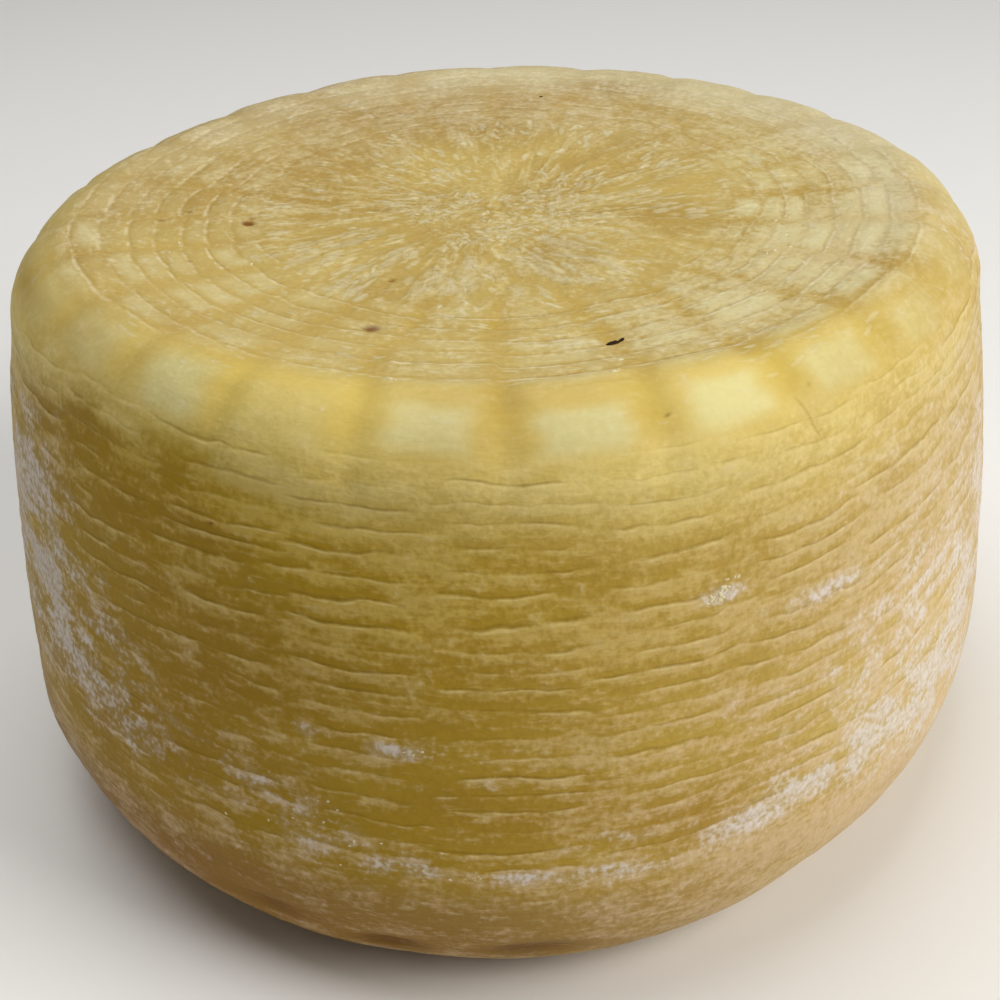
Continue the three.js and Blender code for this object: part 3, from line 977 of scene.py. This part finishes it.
for count, low, high, bearing, spread, length, half, lift, tone, stray, way in FLAKES:
    for _ in range(count):
        start = math.sqrt(pick.uniform(low**2, high**2))
        at = math.radians(bearing + pick.uniform(-spread, spread))
        course = at + math.radians(way + pick.uniform(-stray, stray))
        long = length * pick.uniform(0.5, 1.3)
        wide = half * pick.uniform(0.6, 1.3)
        bend = pick.uniform(-0.12, 0.12) * long
        bright = tone * pick.uniform(0.35, 1.0)
        x, y = start * math.sin(at), start * math.cos(at)
        gap = round_face(np.array([x]), np.array([y]), 7, 72)[0]
        if gap < pick.uniform(-0.6, 0.4):
            continue
        along = share_along * long / 2 + 0 * share_across
        across = share_across * wide * np.sqrt(1.04 - share_along**2) + bend * (share_along**2 - 0.3)
        flake_x.append(x + along * math.sin(course) + across * math.cos(course))
        flake_y.append(y + along * math.cos(course) - across * math.sin(course))
        crest = (1 - share_along**2) * (1 - share_across**2)
        flake_lift.append(lift * crest - FLAKE_SUNK)
        flake_tone.append(bright * np.sqrt(crest))
x_flat, y_flat = np.ravel(flake_x), np.ravel(flake_y)
flake_turn = np.arctan2(x_flat, y_flat)
top = slice(None, -2 * OUTLINE_STEPS - 1, -1)  # the face and the shoulder, from the middle out
flake_run = np.interp(np.hypot(x_flat, y_flat), outline[top, 0], outline_run[top])
flake_points = rind_points(flake_turn, flake_run, np.ravel(flake_lift))
flake_points[:, :2] -= middle
flake_faces = []
for first in range(0, len(x_flat), FLAKE_LONG * FLAKE_WIDE):
    for step in range(FLAKE_LONG - 1):
        for side in range(FLAKE_WIDE - 1):
            corner = first + FLAKE_WIDE * step + side
            flake_faces.append((corner, corner + 1, corner + FLAKE_WIDE + 1, corner + FLAKE_WIDE))
flakes = object_of("dry_flakes", flake_points, flake_faces)
dress(flakes.data, flake_turn, flake_run, np.ravel(flake_tone))
flakes.data.materials.append(rind)
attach(flakes, "root")

# ---------------------------------------------------------------------------------------------------------
# Crumbs of curd
# Specks of pale dry curd, most of them about a millimetre long or less, that broke off the rind and stuck to
# it. They lie singly and in small heaps, and each is a flattened lump.
# ---------------------------------------------------------------------------------------------------------
CRUMB_HEAPS = (
    # bearing, run, spread round and along in mm, how many, length
    (14.0, 150.5, 1.2, 0.5, 3, 1.5),
    (12.8, 146.0, 0.9, 0.4, 2, 1.3),
    (-12.8, 145.5, 1.0, 0.5, 3, 1.3),
    (18.6, 101.9, 1.8, 0.7, 8, 1.1),
    (20.0, 103.0, 1.8, 0.7, 8, 1.1),
    (21.0, 104.7, 1.2, 0.4, 3, 0.9),
    (-9.0, 77.5, 3.0, 0.6, 4, 0.7),
    (-4.0, 51.5, 16.0, 1.2, 12, 0.6),
    (-20.0, 60.0, 18.0, 8.0, 14, 0.6),
    (50.0, 62.0, 20.0, 12.0, 18, 0.7),
    (-62.0, 76.0, 16.0, 18.0, 14, 0.7),
    (62.0, 165.0, 16.0, 9.0, 10, 1.0),
    (-70.0, 168.0, 16.0, 9.0, 8, 0.9),
    (150.0, 70.0, 30.0, 16.0, 18, 1.0),
    (-150.0, 66.0, 30.0, 14.0, 18, 1.0),
)
LUMP_SIDES = 8
LUMP_RINGS = ((0.5, 0.85), (0.85, 0.45), (1.0, -0.4))  # share of its size, and of its height
LUMP_POINTS = 1 + LUMP_SIDES * len(LUMP_RINGS)
CRUMB_RISE = 0.14  # share of its length


def lump(bearing, run, length, width, height, course, pick):
    """The points of one lump lying on the rind, its top first, in millimetres."""
    around = np.arange(LUMP_SIDES) * 2 * math.pi / LUMP_SIDES
    uneven_side = pick.uniform(0.75, 1.25, LUMP_SIDES)
    x, y, lift = [0.0], [0.0], [height]
    for share, rise in LUMP_RINGS:
        x.extend(share * length / 2 * np.cos(around) * uneven_side)
        y.extend(share * width / 2 * np.sin(around) * uneven_side)
        lift.extend(rise * height * pick.uniform(0.8, 1.2, LUMP_SIDES))
    x, y = np.array(x), np.array(y)
    long, tall = x * math.cos(course) - y * math.sin(course), x * math.sin(course) + y * math.cos(course)
    reach = np.interp(run, outline_run, outline[:, 0])
    placed = rind_points(math.radians(bearing) + long / reach, run + tall, np.array(lift))
    placed[:, :2] -= middle
    return placed


def join_lumps(name, lumps, material):
    """One object of many lumps."""
    faces = []
    for first in range(0, len(lumps) * LUMP_POINTS, LUMP_POINTS):
        for side in range(LUMP_SIDES):
            after = (side + 1) % LUMP_SIDES
            faces.append((first, first + 1 + side, first + 1 + after))
            for ring in range(len(LUMP_RINGS) - 1):
                low = first + 1 + ring * LUMP_SIDES
                faces.append((low + side, low + side + LUMP_SIDES, low + after + LUMP_SIDES, low + after))
    made = object_of(name, np.concatenate(lumps), faces)
    made.data.materials.append(material)
    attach(made, "root")
    return made


def two_toned(name, dark, pale, grain, shine):
    """A rough dry finish that wanders between two colours, in grains of so many millimetres."""
    finish = bpy.data.materials.new(name)
    finish.use_nodes = True
    at = node(finish, "TexCoord", {}, output=3)
    mix = node(finish, "TexNoise", {"Vector": at, "Scale": 1 / (grain * MM), "Detail": 2.0})
    tone = node(finish, "Mix", {0: mix, 6: linear(dark), 7: linear(pale)}, output=2, data_type="RGBA")
    shader = finish.node_tree.nodes["Principled BSDF"]
    finish.node_tree.links.new(tone, shader.inputs["Base Color"])
    shader.inputs["Roughness"].default_value = 0.8
    shader.inputs["Specular IOR Level"].default_value = shine
    return finish


# Dry curd: chalky and pale cream.
dry_curd = two_toned("dry_white_curd", "#C4B684", "#EAE0BE", 0.7, 0.5)

pick = np.random.default_rng(81)
crumbs = []
for bearing, run_at, wide, high, count, length in CRUMB_HEAPS:
    reach = np.interp(run_at, outline_run, outline[:, 0])
    for _ in range(count):
        at = bearing + math.degrees(pick.normal(0, wide / 2) / reach)
        long = length * pick.uniform(0.5, 1.3)
        wide_here = long * pick.uniform(0.35, 0.8)
        run_here = run_at + pick.normal(0, high / 2)
        course = pick.normal(0, 0.5)
        crumbs.append(lump(at, run_here, long, wide_here, CRUMB_RISE * long, course, pick))
curd_crumbs = join_lumps("curd_crumbs", crumbs, dry_curd)

# ---------------------------------------------------------------------------------------------------------
# Dark flecks
# Bits of black rush bark that the basket shed: a sliver caught in the face, and a few specks elsewhere. They
# stuck to the curd while it was wet. Each is a flattened lump.
# ---------------------------------------------------------------------------------------------------------
DARK_FLECKS = (
    # bearing, run, length, width, height, turned in degrees
    (15.6, 158.4, 2.6, 1.1, 0.45, 12),
    (17.0, 158.9, 1.5, 0.7, 0.35, 24),
    (2.4, 185.0, 0.8, 0.4, 0.20, 10),
    (-6.8, 185.5, 0.9, 0.5, 0.20, -10),
    (128.0, 121.0, 0.9, 0.5, 0.20, 15),
    (-125.0, 92.0, 0.8, 0.5, 0.20, -20),
    (170.0, 160.0, 0.9, 0.5, 0.20, 40),
)

# Dead bark: dull, and almost black with brown patches.
bark = two_toned("black_rush_bark", "#140D06", "#3E2A12", 0.9, 0.2)

pick = np.random.default_rng(91)
slivers = []
for bearing, run_at, long, wide, high, course in DARK_FLECKS:
    slivers.append(lump(bearing, run_at, long, wide, high, math.radians(course), pick))
dark_flecks = join_lumps("dark_flecks", slivers, bark)

# ---------------------------------------------------------------------------------------------------------
# The stage
# A plain pale table top under the wheel, which isn't part of it. Its paint is matt, so that it shows only
# the wheel's soft shadow.
# ---------------------------------------------------------------------------------------------------------
TABLE_HALF = 6.0
table_corners = [(-TABLE_HALF, -TABLE_HALF, 0), (TABLE_HALF, -TABLE_HALF, 0)]
table_corners += [(TABLE_HALF, TABLE_HALF, 0), (-TABLE_HALF, TABLE_HALF, 0)]
table_mesh = bpy.data.meshes.new("table_top")
table_mesh.from_pydata(table_corners, [], [(0, 1, 2, 3)])
table = bpy.data.objects.new("table_top", table_mesh)
bpy.context.scene.collection.objects.link(table)
paint = bpy.data.materials.new("matt_white_paint")
paint.use_nodes = True
paint.node_tree.nodes["Principled BSDF"].inputs["Base Color"].default_value = linear("#F4F3F0")
paint.node_tree.nodes["Principled BSDF"].inputs["Roughness"].default_value = 0.9
table_mesh.materials.append(paint)

# ---------------------------------------------------------------------------------------------------------
# Studio light and camera
# Broad soft boxes: the key stands high on the right, one hangs overhead, and a weak fill stands on the left.
# ---------------------------------------------------------------------------------------------------------
SOFT_BOXES = (
    # name, place in metres, side in metres, watts, colour
    ("key_box", (0.95, -0.45, 0.75), 0.7, 11.6, "#FFFCF8"),
    ("top_box", (-0.20, 0.12, 1.25), 1.0, 9.6, "#FFFFFF"),
    ("fill_box", (-0.8, -0.9, 0.5), 0.8, 0.2, "#F2F5FF"),
)
ROOM_LIGHT = 0.10


def aim(thing, place, target):
    """Put a camera or a light at a place and turn it to face a target, upright."""
    back = np.subtract(place, target)
    back = back / np.linalg.norm(back)
    right = np.cross((0, 0, 1), back)
    right = right / np.linalg.norm(right)
    thing.location = place
    thing.rotation_euler = Matrix(np.stack([right, np.cross(back, right), back], 1).tolist()).to_euler()


for name, spot, side, watts, tint in SOFT_BOXES:
    lamp = bpy.data.lights.new(name, "AREA")
    lamp.shape = "SQUARE"
    lamp.size = side
    lamp.energy = watts
    lamp.color = linear(tint)[:3]
    box = bpy.data.objects.new(name, lamp)
    bpy.context.scene.collection.objects.link(box)
    aim(box, spot, (0, 0, 0.06))

world = bpy.data.worlds.new("pale_room")
world.use_nodes = True
world.node_tree.nodes["Background"].inputs["Color"].default_value = linear("#FFFFFF")
world.node_tree.nodes["Background"].inputs["Strength"].default_value = ROOM_LIGHT
bpy.context.scene.world = world

CAMERA_PLACE = (0.00067, -0.32161, 0.24338)
CAMERA_TARGET = (-0.00090, 0.00020, 0.05054)
CAMERA_ROLL = -2.5  # degrees
lens = bpy.data.cameras.new("camera")
lens.lens = 61.28
lens.sensor_width = 36.0
lens.clip_start = 0.01
camera = bpy.data.objects.new("camera", lens)
bpy.context.scene.collection.objects.link(camera)
aim(camera, CAMERA_PLACE, CAMERA_TARGET)
camera.rotation_euler.rotate_axis("Z", math.radians(CAMERA_ROLL))
bpy.context.scene.camera = camera
bpy.context.scene.view_settings.view_transform = "Standard"
